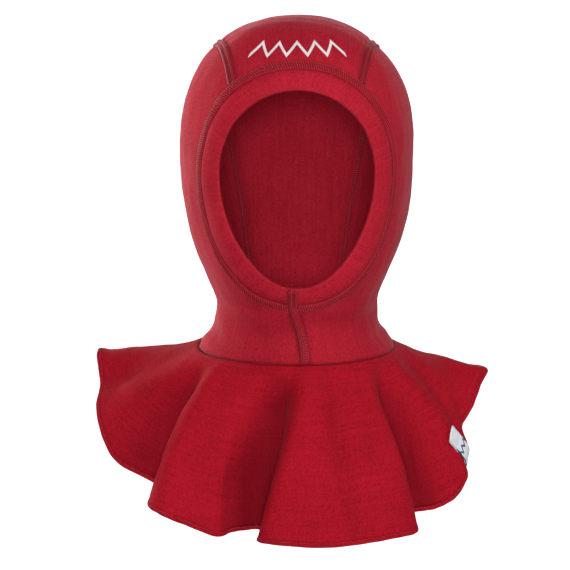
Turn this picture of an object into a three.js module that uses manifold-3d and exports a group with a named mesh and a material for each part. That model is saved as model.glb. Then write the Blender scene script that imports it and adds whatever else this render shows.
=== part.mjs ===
// A child's knitted hood with an egg-shaped face opening and a fluted round collar.
// Millimetres, +Z up. The face opening looks along -Y, and +X is the wearer's left.
// The origin is where the top of the head bears on the inside of the crown.

import * as THREE from "three";
import { mergeVertices } from "three/addons/utils/BufferGeometryUtils.js";
import Module from "manifold-3d";

// Fabric and stitching
const FABRIC = 1.2; // one layer of double knit
const GAP = 0.3; // between pieces that touch
const SEAM_WIDTH = 5.6; // flatlock, across its outer needle lines
const SEAM_THICKNESS = 0.6;
const CHIN_SEAM_WIDTH = 6.4;

// The hood as a stack of plan sections. Depth is measured down from the outside of the crown,
// and the other three are how far the section reaches to each side, to the front and to the back.
const SECTIONS = {
  temples: { depth: 82, side: 75.5, front: 80, back: 80 },
  cheeks: { depth: 120, side: 73, front: 80, back: 79 },
  jaw: { depth: 146, side: 67.5, front: 79, back: 71 },
  chin: { depth: 166, side: 59.5, front: 75.5, back: 60 },
  neck: { depth: 184, side: 52.7, front: 66, back: 55 },
  throat: { depth: 199, side: 54, front: 59, back: 56.5 },
  collar: { depth: 214, side: 64, front: 61, back: 64 },
};
const DOME_POWER = 2.2; // roundness of the dome above the temples, in side view
const PLAN_POWER = 2.1; // roundness of each plan section
const NECKLINE_DIP = 5; // how much lower the neck seam is at the front than at the sides
const NECKLINE_RISE = 6; // how much higher it is at the back

// Face opening and the seam ring round it, both seen from the front. Skew makes an egg.
const OPENING = { top: 45.5, bottom: 172, halfWidth: 50, power: 2, skew: 0.14 };
const RING = { top: 31.5, bottom: 183.5, halfWidth: 61.5, power: 2.15, skew: 0.08 };

// Half-width of the crown panel by angle round the head: 0 forwards, 90 up, 180 back.
const CROWN_PANEL = [
  { angle: 0, halfWidth: 36 },
  { angle: 45, halfWidth: 43 },
  { angle: 90, halfWidth: 51.5 },
  { angle: 135, halfWidth: 51 },
  { angle: 180, halfWidth: 46 },
  { angle: 235, halfWidth: 33 },
  { angle: 265, halfWidth: 29 },
];

// The chin seam leans a little to the wearer's left on its way down.
const CHIN_SEAM = { topDepth: 172, topX: -3, bottomDepth: 219, bottomX: 5 };

// Collar
const COLLAR_HALF_WIDTH = 128;
const COLLAR_HALF_DEPTH = 100;
const COLLAR_DROP = 114; // hem below the side of the neck seam, at its lowest
const HEM_WIDTH = 2.4;
const HEM_THICKNESS = 2;
const HEM_GAP = 0.6; // wider than GAP, because the edge twists at the flutes
// The hem's course over its flutes: [angle of the fold at the neck seam, then how far across, how
// far back and how far down the hem lies there, in hundredths of the three sizes above].
const FLUTES = [
  [-90, -102.5, 8, 6],
  [-80, -100, -12, 21],
  [-71, -101, -30, 32],
  [-64, -97, -46, 47],
  [-58, -89, -57, 60],
  [-53, -70, -62, 72],
  [-48, -73.5, -76, 80],
  [-42, -67, -86, 84],
  [-34, -55, -90, 89],
  [-24, -39, -93, 95],
  [-16, -30, -80, 95],
  [-9, -20, -71, 96],
  [-5, -17, -78, 97],
  [-2, -19.5, -90, 98],
  [4, -11, -97, 99],
  [20, 14, -100, 100],
  [36, 34, -97, 98],
  [46, 50, -90, 96],
  [52, 59, -80, 95],
  [56, 58, -66, 92],
  [60, 56, -56, 89],
  [65, 62.5, -55, 88],
  [70, 71, -53, 86],
  [75, 79.5, -48, 81],
  [79, 85, -40, 72],
  [83, 85, -32, 66],
  [86, 86.5, -25, 56],
  [88, 84, -17, 46],
  [91, 90, -8, 35],
  [95, 94.5, -1, 23],
  [99, 98, 8, 15],
  [108, 88, 36, 18],
  [122, 75, 62, 39],
  [136, 56, 80, 61],
  [148, 39, 78, 69],
  [160, 26.5, 94, 74],
  [175, 6, 98, 74],
  [188, -9.5, 84, 73],
  [200, -26.5, 92, 72],
  [212, -45, 90, 66],
  [224, -59, 72, 55],
  [238, -76.5, 68, 33],
  [252, -90.5, 46, 13],
  [263, -100, 26, 6],
];
const SHOULDER_REACH = 0.76; // how far out the collar turns from shoulder to hanging cloth
const SHOULDER_DROP = 0.34; // how far down it does so

// Overlocked seam allowance inside the neck
const ALLOWANCE_HEIGHT = 5;
const ALLOWANCE_THICKNESS = 1.6;

// Loop label on the hem, and its bar tack
const LABEL_FLUTE = 25.5; // place on the list of flutes
const LABEL_REACH = 0.2; // how far to each side on that list the hem's direction is taken
const LABEL_LEAN = 15; // degrees, up along the hem
const LABEL_TILT = 12; // degrees, away from the flute that it lies on
const LABEL_WIDTH = 11;
const LABEL_LENGTH = 23;
const LABEL_TAPE = 0.4;
const LABEL_LIFT = 0.8 / 11; // how far it stands off the hem for each millimetre of its width
const LABEL_INSIDE = 0.5; // room between its two leaves
const TACK_WIDTH = 1.1;
const TACK_THICKNESS = 0.7;

// Printed zigzag on the forehead
const PRINT = { depth: 21.5, halfLength: 38, height: 8, line: 2.2, peaks: 5, thickness: 0.4 };

// Mesh fineness
const COLUMNS = 42;
const DOME_ROWS = 9;
const FACE_ROWS = 8; // from the temples to the chin
const NECK_ROWS = 11; // from the chin to the collar
const RING_STEPS = 60;
const SEAM_STEPS = 28;
const STEPS_PER_FLUTE = 3;
const PRINT_STEPS = 3; // to each leg of the zigzag
const TACK_STEPS = 8;
const COLLAR_ROWS = 5;

const RED = 0xa51a2b;
const THREAD = 0x8f1526;
const LABEL_WHITE = 0xd4d8dc;

const wasm = await Module();
wasm.setup();

// ---- Meshes and solids ----

// A closed mesh from shared points and triangles. Triangles without area are left out, and the
// whole is turned right side out.
function meshOf(points, triangles) {
  const kept = triangles.filter(([a, b, c]) => {
    const side = points[b].clone().sub(points[a]);
    return side.cross(points[c].clone().sub(points[a])).length() > 1e-7;
  });
  let volume = 0;
  for (const [a, b, c] of kept) {
    volume += points[a].dot(points[b].clone().cross(points[c]));
  }
  const index = kept.flatMap(([a, b, c]) => (volume > 0 ? [a, b, c] : [a, c, b]));
  const geometry = new THREE.BufferGeometry().setFromPoints(points);
  geometry.setIndex(index);
  return mergeVertices(geometry, 1e-5);
}

// A sheet with two faces, each a grid of points in rows, closed at its edges.
function sheet(outer, inner, wraps) {
  const rows = outer.length;
  const columns = outer[0].length;
  const points = [...outer.flat(), ...inner.flat()];
  const at = (face, row, column) => (face * rows + row) * columns + (column % columns);
  const triangles = [];
  const quad = (a, b, c, d) => triangles.push([a, b, c], [a, c, d]);
  const lastColumn = wraps ? columns : columns - 1;
  for (let c = 0; c < lastColumn; c++) {
    for (let r = 0; r < rows - 1; r++) {
      quad(at(0, r, c), at(0, r + 1, c), at(0, r + 1, c + 1), at(0, r, c + 1));
      quad(at(1, r, c), at(1, r, c + 1), at(1, r + 1, c + 1), at(1, r + 1, c));
    }
    quad(at(0, 0, c), at(0, 0, c + 1), at(1, 0, c + 1), at(1, 0, c));
    quad(at(0, rows - 1, c), at(1, rows - 1, c), at(1, rows - 1, c + 1), at(0, rows - 1, c + 1));
  }
  for (let r = 0; r < rows - 1 && !wraps; r++) {
    const end = columns - 1;
    quad(at(0, r, 0), at(1, r, 0), at(1, r + 1, 0), at(0, r + 1, 0));
    quad(at(0, r, end), at(0, r + 1, end), at(1, r + 1, end), at(1, r, end));
  }
  return meshOf(points, triangles);
}

function solidOf(geometry) {
  const bare = geometry.clone();
  bare.deleteAttribute("normal");
  bare.deleteAttribute("uv");
  const merged = mergeVertices(bare, 1e-5);
  const mesh = new wasm.Mesh({
    numProp: 3,
    vertProperties: Float32Array.from(merged.attributes.position.array),
    triVerts: Uint32Array.from(merged.index.array),
  });
  return new wasm.Manifold(mesh);
}

function geometryOf(solid) {
  const mesh = solid.getMesh();
  const geometry = new THREE.BufferGeometry();
  geometry.setAttribute("position", new THREE.BufferAttribute(mesh.vertProperties, mesh.numProp));
  geometry.setIndex(new THREE.BufferAttribute(mesh.triVerts, 1));
  return geometry;
}

// ---- The hood's outer surface ----

// Smooth value through the knots of a table, flat at its first knot.
function throughKnots(xs, ys, x) {
  const last = xs.length - 1;
  const slope = (i) => (ys[i + 1] - ys[i]) / (xs[i + 1] - xs[i]);
  const tangent = (i) => {
    if (i === 0) return 0;
    return i === last ? slope(last - 1) : (slope(i - 1) + slope(i)) / 2;
  };
  const found = xs.findIndex((knot) => knot > x);
  const i = found < 0 ? last - 1 : Math.max(found - 1, 0);
  const span = xs[i + 1] - xs[i];
  const t = THREE.MathUtils.clamp((x - xs[i]) / span, 0, 1);
  const from = ys[i] * (1 + 2 * t) * (1 - t) ** 2 + tangent(i) * span * t * (1 - t) ** 2;
  return from + ys[i + 1] * t * t * (3 - 2 * t) + tangent(i + 1) * span * t * t * (t - 1);
}

const STATIONS = Object.values(SECTIONS);
const DEPTHS = STATIONS.map((station) => station.depth);
const reachOf = (way, depth) => throughKnots(DEPTHS, STATIONS.map((s) => s[way]), depth);
const TEMPLES = SECTIONS.temples.depth;

// How much lower a point lies than its section's depth: the neck end is tilted to the front.
function dip(x, y, depth) {
  const forward = -y / Math.max(Math.hypot(x, y), 1e-6);
  const amount = forward > 0 ? NECKLINE_DIP : NECKLINE_RISE;
  const share = THREE.MathUtils.smoothstep(depth, SECTIONS.neck.depth, SECTIONS.collar.depth);
  return amount * forward * share;
}

// A point on the surface, by angle from the front towards the wearer's left and by depth.
function hoodPoint(angle, depth) {
  const shrink = (1 - (Math.max(TEMPLES - depth, 0) / TEMPLES) ** DOME_POWER) ** (1 / DOME_POWER);
  const bend = (value) => Math.sign(value) * Math.abs(value) ** (2 / PLAN_POWER);
  const forward = Math.cos(angle);
  const x = shrink * reachOf("side", depth) * bend(Math.sin(angle));
  const y = -shrink * reachOf(forward > 0 ? "front" : "back", depth) * bend(forward);
  return new THREE.Vector3(x, y, FABRIC - depth - dip(x, y, depth));
}

// Below zero inside the surface, zero on it and above zero outside.
function outside({ x, y, z }) {
  let depth = FABRIC - z;
  for (let i = 0; i < 8; i++) {
    depth = FABRIC - z - dip(x, y, depth);
  }
  const side = Math.abs(x) / reachOf("side", depth);
  const along = Math.abs(y) / reachOf(y < 0 ? "front" : "back", depth);
  const plan = (side ** PLAN_POWER + along ** PLAN_POWER) ** (1 / PLAN_POWER);
  if (depth >= TEMPLES) return plan - 1;
  return plan ** DOME_POWER + ((TEMPLES - depth) / TEMPLES) ** DOME_POWER - 1;
}

function normalAt(point) {
  const step = 0.05;
  const along = (axis) => {
    const ahead = outside(point.clone().addScaledVector(axis, step));
    return ahead - outside(point.clone().addScaledVector(axis, -step));
  };
  const [x, y, z] = [[1, 0, 0], [0, 1, 0], [0, 0, 1]].map((a) => along(new THREE.Vector3(...a)));
  return new THREE.Vector3(x, y, z).normalize();
}

// Where a ray from inside the hood leaves it.
function exitPoint(origin, direction) {
  let near = 0;
  let far = 200;
  for (let i = 0; i < 40; i++) {
    const middle = (near + far) / 2;
    const inside = outside(origin.clone().addScaledVector(direction, middle)) < 0;
    near = inside ? middle : near;
    far = inside ? far : middle;
  }
  return origin.clone().addScaledVector(direction, near);
}

const raised = (point, height) => point.clone().addScaledVector(normalAt(point), height);
const frontPoint = (x, z) => exitPoint(new THREE.Vector3(x, 0, z), new THREE.Vector3(0, -1, 0));

function hoodDepths() {
  const even = (from, to, rows) => {
    return Array.from({ length: rows }, (_, row) => from + ((to - from) * row) / rows);
  };
  const dome = even(0, Math.PI / 2, DOME_ROWS).map((angle) => TEMPLES * (1 - Math.cos(angle)));
  const { chin, collar: end } = SECTIONS;
  const face = even(TEMPLES, chin.depth, FACE_ROWS);
  return [...dome, ...face, ...even(chin.depth, end.depth, NECK_ROWS), end.depth];
}

// The whole hood as one bell of the given thickness, measured inwards.
function bell(thickness) {
  const grid = hoodDepths().map((depth) => {
    const turn = (column) => (column / COLUMNS) * 2 * Math.PI;
    return Array.from({ length: COLUMNS }, (_, column) => hoodPoint(turn(column), depth));
  });
  const inner = grid.map((row) => row.map((point) => raised(point, -thickness)));
  return solidOf(sheet(grid, inner, true));
}

// ---- Cutters, as solids ----

// Half-width of an egg at a height from -1, its bottom, to 1, its top.
function eggHalfWidth(egg, height) {
  const round = Math.max(1 - Math.abs(height) ** egg.power, 0) ** (1 / egg.power);
  return egg.halfWidth * round * (1 + egg.skew * height);
}

// A point of an egg's outline, in front view: angle 0 at the top, towards the wearer's left.
function eggPoint(egg, angle, grow = 0) {
  const height = Math.cos(angle);
  const middle = FABRIC - (egg.top + egg.bottom) / 2;
  const halfHeight = (egg.bottom - egg.top) / 2;
  const x = Math.sign(Math.sin(angle)) * eggHalfWidth(egg, height);
  return new THREE.Vector2(x + grow * Math.sin(angle), middle + (halfHeight + grow) * height);
}

// The space in front of an egg, from the middle of the head forwards.
function eggPrism(egg, grow = 0) {
  const outline = Array.from({ length: RING_STEPS }, (_, step) => {
    return eggPoint(egg, (step / RING_STEPS) * 2 * Math.PI, grow);
  });
  const reach = 2 * SECTIONS.temples.front;
  const prism = new THREE.ExtrudeGeometry(new THREE.Shape(outline), {
    depth: reach,
    bevelEnabled: false,
  });
  return solidOf(prism.rotateX(Math.PI / 2));
}

function crownHalfWidth(angle) {
  const angles = CROWN_PANEL.map((knot) => knot.angle);
  const widths = CROWN_PANEL.map((knot) => knot.halfWidth);
  return throughKnots(angles, widths, THREE.MathUtils.radToDeg(angle));
}

const HEAD_MIDDLE = FABRIC - TEMPLES;
const FIRST_CROWN_ANGLE = THREE.MathUtils.degToRad(8);
const LAST_CROWN_ANGLE = THREE.MathUtils.degToRad(262);

// The space that the crown panel is cut from: a wheel on the X axis whose width follows the panel.
function crownWheel(grow) {
  const face = (radius) => [-1, 1].map((side) => {
    return Array.from({ length: SEAM_STEPS + 1 }, (_, step) => {
      const share = step / SEAM_STEPS;
      const angle = THREE.MathUtils.lerp(FIRST_CROWN_ANGLE, LAST_CROWN_ANGLE, share);
      const x = side * (crownHalfWidth(angle) + grow);
      const y = -radius * Math.cos(angle);
      return new THREE.Vector3(x, y, HEAD_MIDDLE + radius * Math.sin(angle));
    });
  });
  return solidOf(sheet(face(250), face(5), false));
}

function chinX(depth) {
  const share = THREE.MathUtils.inverseLerp(CHIN_SEAM.topDepth, CHIN_SEAM.bottomDepth, depth);
  return THREE.MathUtils.lerp(CHIN_SEAM.topX, CHIN_SEAM.bottomX, share);
}

// A thin cut down the chin seam, through the front of the hood only.
function chinCut() {
  const depths = [OPENING.bottom - 20, CHIN_SEAM.bottomDepth + 30];
  const face = (y) => [-1, 1].map((side) => depths.map((depth) => {
    return new THREE.Vector3(chinX(depth) + (side * GAP) / 2, y, FABRIC - depth);
  }));
  return solidOf(sheet(face(-150), face(-20), false));
}

// ---- Hood pieces ----

function crownPanel() {
  const cloth = bell(FABRIC).intersect(crownWheel(-GAP / 2));
  return geometryOf(cloth.subtract(eggPrism(RING, GAP / 2)));
}

// The two side panels, the wearer's right one first.
function sidePanels() {
  const rest = bell(FABRIC).subtract(crownWheel(GAP / 2)).subtract(eggPrism(RING, GAP / 2));
  const halves = rest.subtract(chinCut()).decompose();
  halves.sort((a, b) => a.boundingBox().min[0] - b.boundingBox().min[0]);
  return halves.map(geometryOf);
}

// Two layers, folded at the face opening, with its ends meeting at the chin.
function faceBand() {
  const ring = bell(2 * FABRIC).intersect(eggPrism(RING, -GAP / 2));
  return geometryOf(ring.subtract(eggPrism(OPENING)).subtract(chinCut()));
}

// A flat strip that follows points on the hood, between two heights over the surface.
function strip(path, width, from, to, wraps) {
  const count = path.length;
  const edge = (side, height) => path.map((point, i) => {
    const before = wraps ? path[(i + count - 1) % count] : path[Math.max(i - 1, 0)];
    const after = wraps ? path[(i + 1) % count] : path[Math.min(i + 1, count - 1)];
    const normal = normalAt(point);
    const across = after.clone().sub(before).cross(normal).normalize();
    const placed = point.clone().addScaledVector(across, (side * width) / 2);
    return placed.addScaledVector(normal, height);
  });
  return sheet([edge(1, to), edge(-1, to)], [edge(1, from), edge(-1, from)], wraps);
}

const flatlock = (path, width, wraps) => strip(path, width, GAP, GAP + SEAM_THICKNESS, wraps);

function faceBandSeam() {
  const path = Array.from({ length: RING_STEPS }, (_, step) => {
    const { x, y } = eggPoint(RING, (step / RING_STEPS) * 2 * Math.PI);
    return frontPoint(x, y);
  });
  return flatlock(path, SEAM_WIDTH, true);
}

const crownPoint = (side, angle) => exitPoint(
  new THREE.Vector3(side * crownHalfWidth(angle), 0, HEAD_MIDDLE),
  new THREE.Vector3(0, -Math.cos(angle), Math.sin(angle)),
);

// Angle at which a crown seam comes clear of the ring seam, or of the neck seam.
function crownAngleWhere(side, from, to, isClear) {
  let [near, far] = [from, to];
  for (let i = 0; i < 30; i++) {
    const middle = (near + far) / 2;
    const clear = isClear(crownPoint(side, middle));
    near = clear ? near : middle;
    far = clear ? middle : far;
  }
  return far;
}

function isClearOfRing(point) {
  const middle = FABRIC - (RING.top + RING.bottom) / 2;
  const margin = SEAM_WIDTH / 2 + GAP;
  const height = (point.z - middle) / ((RING.bottom - RING.top) / 2 + margin);
  if (Math.abs(height) > 1) return true;
  return Math.abs(point.x) > eggHalfWidth(RING, height) + margin;
}

const necklineDrop = (point) => FABRIC - point.z - dip(point.x, point.y, SECTIONS.collar.depth);
const isClearOfNeck = (point) => necklineDrop(point) < SECTIONS.collar.depth - GAP;

function crownSeam(side) {
  const top = Math.PI / 2;
  const first = crownAngleWhere(side, FIRST_CROWN_ANGLE, top, isClearOfRing);
  const last = crownAngleWhere(side, LAST_CROWN_ANGLE, top, isClearOfNeck);
  const path = Array.from({ length: SEAM_STEPS + 1 }, (_, step) => {
    return crownPoint(side, THREE.MathUtils.lerp(first, last, step / SEAM_STEPS));
  });
  return flatlock(path, SEAM_WIDTH, false);
}

// A flatlock strip down the chin between two depths at the front of the hood.
function chinStrip(fromDepth, toDepth, steps) {
  const path = Array.from({ length: steps + 1 }, (_, step) => {
    const depth = THREE.MathUtils.lerp(fromDepth, toDepth, step / steps);
    return frontPoint(chinX(depth), FABRIC - depth);
  });
  return flatlock(path, CHIN_SEAM_WIDTH, false);
}

const RING_CLEARANCE = SEAM_WIDTH / 2 + 2 * GAP;
const bandJoinSeam = () => chinStrip(OPENING.bottom + GAP, RING.bottom - RING_CLEARANCE, 4);
const NECKLINE_FRONT = SECTIONS.collar.depth + NECKLINE_DIP;
const chinSeam = () => chinStrip(RING.bottom + RING_CLEARANCE, NECKLINE_FRONT - 2 * GAP, 10);

// The motif: one zigzag line, wrapped on to the forehead.
function foreheadPrint() {
  const { depth, halfLength, height, line, peaks, thickness } = PRINT;
  const steps = 2 * peaks * PRINT_STEPS;
  const slant = Math.hypot(halfLength / peaks, height) / (halfLength / peaks);
  const edge = (side, lift) => Array.from({ length: steps + 1 }, (_, i) => {
    const leg = Math.abs(((i / PRINT_STEPS + 1) % 2) - 1);
    const angle = Math.asin((halfLength * ((2 * i) / steps - 1)) / SECTIONS.temples.side);
    const rise = height * (leg - 0.5) + (side * line * slant) / 2;
    return raised(hoodPoint(angle, depth - rise), GAP + lift);
  });
  const face = (lift) => [edge(1, lift), edge(-1, lift)];
  return sheet(face(thickness), face(0), false);
}

// ---- Collar ----

// Place and neck angle at any point of the flute list, counted from 0 and going round.
function hemPlace(at) {
  const count = FLUTES.length;
  const knot = (i) => {
    const [angle, across, back, down] = FLUTES[((i % count) + count) % count];
    const turns = Math.floor(i / count) * 360;
    return [
      THREE.MathUtils.degToRad(angle + turns),
      (across / 100) * COLLAR_HALF_WIDTH,
      (back / 100) * COLLAR_HALF_DEPTH,
      FABRIC - SECTIONS.collar.depth - (down / 100) * COLLAR_DROP,
    ];
  };
  const first = Math.floor(at);
  const t = at - first;
  const [a, b, c, d] = [-1, 0, 1, 2].map((step) => knot(first + step));
  const [angle, x, y, z] = a.map((_, i) => {
    const bend = 2 * a[i] - 5 * b[i] + 4 * c[i] - d[i] + (3 * (b[i] - c[i]) + d[i] - a[i]) * t;
    return b[i] + 0.5 * t * (c[i] - a[i] + t * bend);
  });
  return { angle, point: new THREE.Vector3(x, y, z) };
}

// One line of the collar from neck seam to hem: its two ends and the shoulder between them, where
// the flutes have not begun yet.
function collarLine(at) {
  const { angle, point: end } = hemPlace(at);
  const start = hoodPoint(angle, SECTIONS.collar.depth);
  start.z -= GAP;
  const even = new THREE.Vector3();
  const spread = [-3, -2, -1, 0, 1, 2, 3];
  for (const step of spread) {
    even.addScaledVector(hemPlace(at + step).point, 1 / spread.length);
  }
  const shoulder = start.clone().lerp(even, SHOULDER_REACH);
  shoulder.z = THREE.MathUtils.lerp(start.z, even.z, SHOULDER_DROP);
  const hang = end.clone().sub(shoulder).normalize();
  return { start, shoulder, end, hang };
}

// A point of the collar's outer face, from 0 at the neck seam to 1 at the top of the hem.
function collarPoint(at, down) {
  const { start, shoulder, end, hang } = collarLine(at);
  const edge = end.clone().addScaledVector(hang, -HEM_WIDTH - HEM_GAP);
  const point = start.multiplyScalar((1 - down) ** 2);
  point.addScaledVector(shoulder, 2 * down * (1 - down));
  return point.addScaledVector(edge, down ** 2);
}

function collarNormal(at, down) {
  const step = 0.02;
  const higher = Math.max(down - step, 0);
  const lower = Math.min(down + step, 1);
  const round = collarPoint(at + step, down).sub(collarPoint(at - step, down));
  const along = collarPoint(at, lower).sub(collarPoint(at, higher));
  return along.cross(round).normalize();
}

const collarSteps = () => {
  const count = FLUTES.length * STEPS_PER_FLUTE;
  return Array.from({ length: count }, (_, i) => i / STEPS_PER_FLUTE);
};

function collar() {
  const rows = Array.from({ length: COLLAR_ROWS + 1 }, (_, row) => row / COLLAR_ROWS);
  const face = (height) => rows.map((down) => collarSteps().map((at) => {
    return collarPoint(at, down).addScaledVector(collarNormal(at, down), height);
  }));
  return sheet(face(0), face(-FABRIC), true);
}

// The hem runs on from the collar's edge and is thicker than one layer.
function collarHem() {
  const middle = -FABRIC / 2;
  const face = (height) => [0, 1].map((row) => collarSteps().map((at) => {
    const point = collarPoint(at, 1);
    point.addScaledVector(collarLine(at).hang, HEM_GAP + row * HEM_WIDTH);
    return point.addScaledVector(collarNormal(at, 1), middle + height);
  }));
  return sheet(face(HEM_THICKNESS / 2), face(-HEM_THICKNESS / 2), true);
}

// Hangs inside the neck, against the bottom edge of the hood.
function neckSeam() {
  const depths = [ALLOWANCE_HEIGHT + GAP, GAP].map((rise) => SECTIONS.collar.depth - rise);
  const face = (height) => depths.map((depth) => Array.from({ length: COLUMNS }, (_, column) => {
    return raised(hoodPoint((column / COLUMNS) * 2 * Math.PI, depth), height);
  }));
  const outer = -FABRIC - GAP;
  return sheet(face(outer), face(outer - ALLOWANCE_THICKNESS), true);
}

// ---- Label ----

// A frame on the hem's outer face: X runs along the hem, Y in over the collar and Z out of the cloth.
function labelFrame() {
  const base = collarPoint(LABEL_FLUTE, 1);
  const out = collarNormal(LABEL_FLUTE, 1);
  const before = collarPoint(LABEL_FLUTE - LABEL_REACH, 1);
  const alongHem = collarPoint(LABEL_FLUTE + LABEL_REACH, 1).sub(before).normalize();
  const inward = out.clone().cross(alongHem).normalize();
  const square = alongHem.clone().cross(inward).normalize();
  const hemFace = HEM_THICKNESS / 2 - FABRIC / 2;
  base.addScaledVector(collarLine(LABEL_FLUTE).hang, HEM_GAP + HEM_WIDTH);
  base.addScaledVector(square, hemFace + GAP);
  return new THREE.Matrix4().makeBasis(alongHem, inward, square).setPosition(base);
}

// Two leaves joined by a round fold at the free end, sewn on at a slant.
function loopLabel() {
  const thickness = 2 * LABEL_TAPE + LABEL_INSIDE;
  const foldY = LABEL_LENGTH - thickness / 2;
  const middle = thickness / 2;
  const outline = new THREE.Shape();
  outline.moveTo(0, 0);
  outline.lineTo(0, LABEL_TAPE);
  outline.lineTo(foldY, LABEL_TAPE);
  outline.absarc(foldY, middle, LABEL_INSIDE / 2, -Math.PI / 2, Math.PI / 2, false);
  outline.lineTo(0, thickness - LABEL_TAPE);
  outline.lineTo(0, thickness);
  outline.lineTo(foldY, thickness);
  outline.absarc(foldY, middle, thickness / 2, Math.PI / 2, -Math.PI / 2, true);
  const loop = new THREE.ExtrudeGeometry(outline, {
    depth: LABEL_WIDTH,
    bevelEnabled: false,
    curveSegments: 6,
  });
  loop.translate(0, 0, -LABEL_WIDTH / 2);
  const turn = new THREE.Matrix4().makeBasis(
    new THREE.Vector3(0, 1, 0),
    new THREE.Vector3(0, 0, 1),
    new THREE.Vector3(1, 0, 0),
  );
  const lean = Math.tan(THREE.MathUtils.degToRad(LABEL_LEAN));
  const slant = new THREE.Matrix4().set(1, lean, 0, 0, 0, 1, 0, 0, 0, 0, 1, 0, 0, 0, 0, 1);
  const tilt = new THREE.Matrix4().makeRotationX(THREE.MathUtils.degToRad(LABEL_TILT));
  return loop.applyMatrix4(turn).applyMatrix4(slant).applyMatrix4(tilt);
}

// The bar tack follows the hem's face over the label's width.
function labelStitch() {
  let half = 0;
  const tip = (side) => collarPoint(LABEL_FLUTE + side * half, 1);
  while (tip(-1).distanceTo(tip(1)) < LABEL_WIDTH) {
    half += 0.01;
  }
  const hemFace = HEM_THICKNESS / 2 - FABRIC / 2;
  const face = (height) => [TACK_WIDTH, 0].map((rise) => {
    return Array.from({ length: TACK_STEPS + 1 }, (_, step) => {
      const at = LABEL_FLUTE + half * ((2 * step) / TACK_STEPS - 1);
      const point = collarPoint(at, 1);
      point.addScaledVector(collarLine(at).hang, HEM_GAP + HEM_WIDTH - rise);
      return point.addScaledVector(collarNormal(at, 1), hemFace + GAP + height);
    });
  });
  return sheet(face(TACK_THICKNESS), face(0), false);
}

// ---- Assembly ----

function piece(name, geometry, color, roughness = 0.95) {
  const material = new THREE.MeshStandardMaterial({ color, roughness, metalness: 0 });
  const mesh = new THREE.Mesh(geometry, material);
  mesh.name = name;
  return mesh;
}

function labelGroup() {
  const group = new THREE.Group();
  labelFrame().decompose(group.position, group.quaternion, group.scale);
  const label = piece("loop_label", loopLabel(), LABEL_WHITE, 0.7);
  label.position.set(0, TACK_WIDTH + GAP, LABEL_LIFT * LABEL_WIDTH);
  group.add(label);
  return group;
}

const [sideRight, sideLeft] = sidePanels();
const hood = new THREE.Group();
hood.add(
  piece("crown_panel", crownPanel(), RED),
  piece("side_panel_left", sideLeft, RED),
  piece("side_panel_right", sideRight, RED),
  piece("face_band", faceBand(), RED),
  piece("crown_seam_left", crownSeam(1), THREAD),
  piece("crown_seam_right", crownSeam(-1), THREAD),
  piece("face_band_seam", faceBandSeam(), THREAD),
  piece("band_join_seam", bandJoinSeam(), THREAD),
  piece("chin_seam", chinSeam(), THREAD),
  piece("collar", collar(), RED),
  piece("neck_seam", neckSeam(), THREAD),
  piece("collar_hem", collarHem(), RED),
  piece("forehead_print", foreheadPrint(), LABEL_WHITE, 0.6),
  piece("label_stitch", labelStitch(), THREAD),
  labelGroup(),
);

export default hood;
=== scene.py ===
"""A child's knitted hood with an egg-shaped face opening and a fluted round collar.

The shape is worked out in millimetres of the garment and set in the frame's metres by MM. The face
opening looks along -Y, +Z is up and +X is the wearer's left.
"""

import math

import bpy
import numpy as np
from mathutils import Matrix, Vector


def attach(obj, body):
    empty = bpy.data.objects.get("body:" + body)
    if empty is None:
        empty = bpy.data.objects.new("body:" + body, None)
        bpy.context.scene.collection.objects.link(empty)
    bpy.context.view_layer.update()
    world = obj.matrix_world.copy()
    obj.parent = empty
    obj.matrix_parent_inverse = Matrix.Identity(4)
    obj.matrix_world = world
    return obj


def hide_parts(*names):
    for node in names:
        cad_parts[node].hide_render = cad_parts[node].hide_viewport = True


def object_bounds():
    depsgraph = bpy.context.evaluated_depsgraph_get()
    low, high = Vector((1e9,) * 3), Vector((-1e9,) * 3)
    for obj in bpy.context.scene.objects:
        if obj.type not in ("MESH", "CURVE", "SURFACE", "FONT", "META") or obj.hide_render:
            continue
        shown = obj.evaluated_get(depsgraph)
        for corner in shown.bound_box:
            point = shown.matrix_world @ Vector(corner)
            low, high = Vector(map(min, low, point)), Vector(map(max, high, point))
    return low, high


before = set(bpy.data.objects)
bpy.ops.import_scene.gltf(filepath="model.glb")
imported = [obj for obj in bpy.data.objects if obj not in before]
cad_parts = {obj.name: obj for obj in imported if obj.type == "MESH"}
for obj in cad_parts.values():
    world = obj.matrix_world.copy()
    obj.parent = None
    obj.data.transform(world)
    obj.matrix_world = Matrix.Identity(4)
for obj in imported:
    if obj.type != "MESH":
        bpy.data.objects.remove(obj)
CAD_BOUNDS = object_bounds()

# ---------------------------------------------------------------- sizes, in millimetres

FABRIC = 1.2  # one layer of double knit
SEAM_WIDTH = 5.6  # flatlock, across its outer needle lines
CHIN_SEAM_WIDTH = 6.4

# The hood as a stack of plan sections: depth below the crown, then reach to the side, front, back.
SECTIONS = np.array([
    (82, 75.5, 80, 80),
    (120, 73, 80, 79),
    (146, 67.5, 79, 71),
    (166, 59.5, 75.5, 60),
    (184, 52.7, 66, 55),
    (199, 54, 59, 56.5),
    (214, 64, 61, 64),
])
TEMPLE_DEPTH = SECTIONS[0, 0]
NECK_DEPTH = SECTIONS[4, 0]
COLLAR_DEPTH = SECTIONS[6, 0]
SIDE, FRONT, BACK = 1, 2, 3
DOME_POWER = 2.2
PLAN_POWER = 2.1
NECKLINE_DIP = 5
NECKLINE_RISE = 6

OPENING = {"top": 45.5, "bottom": 172, "half_width": 50, "power": 2, "skew": 0.14}
RING = {"top": 31.5, "bottom": 183.5, "half_width": 61.5, "power": 2.15, "skew": 0.08}

# Half-width of the crown panel by angle round the head: 0 forwards, 90 up, 180 back.
CROWN_ANGLES = (0, 45, 90, 135, 180, 235, 265)
CROWN_HALF_WIDTHS = (36, 43, 51.5, 51, 46, 33, 29)

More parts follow.
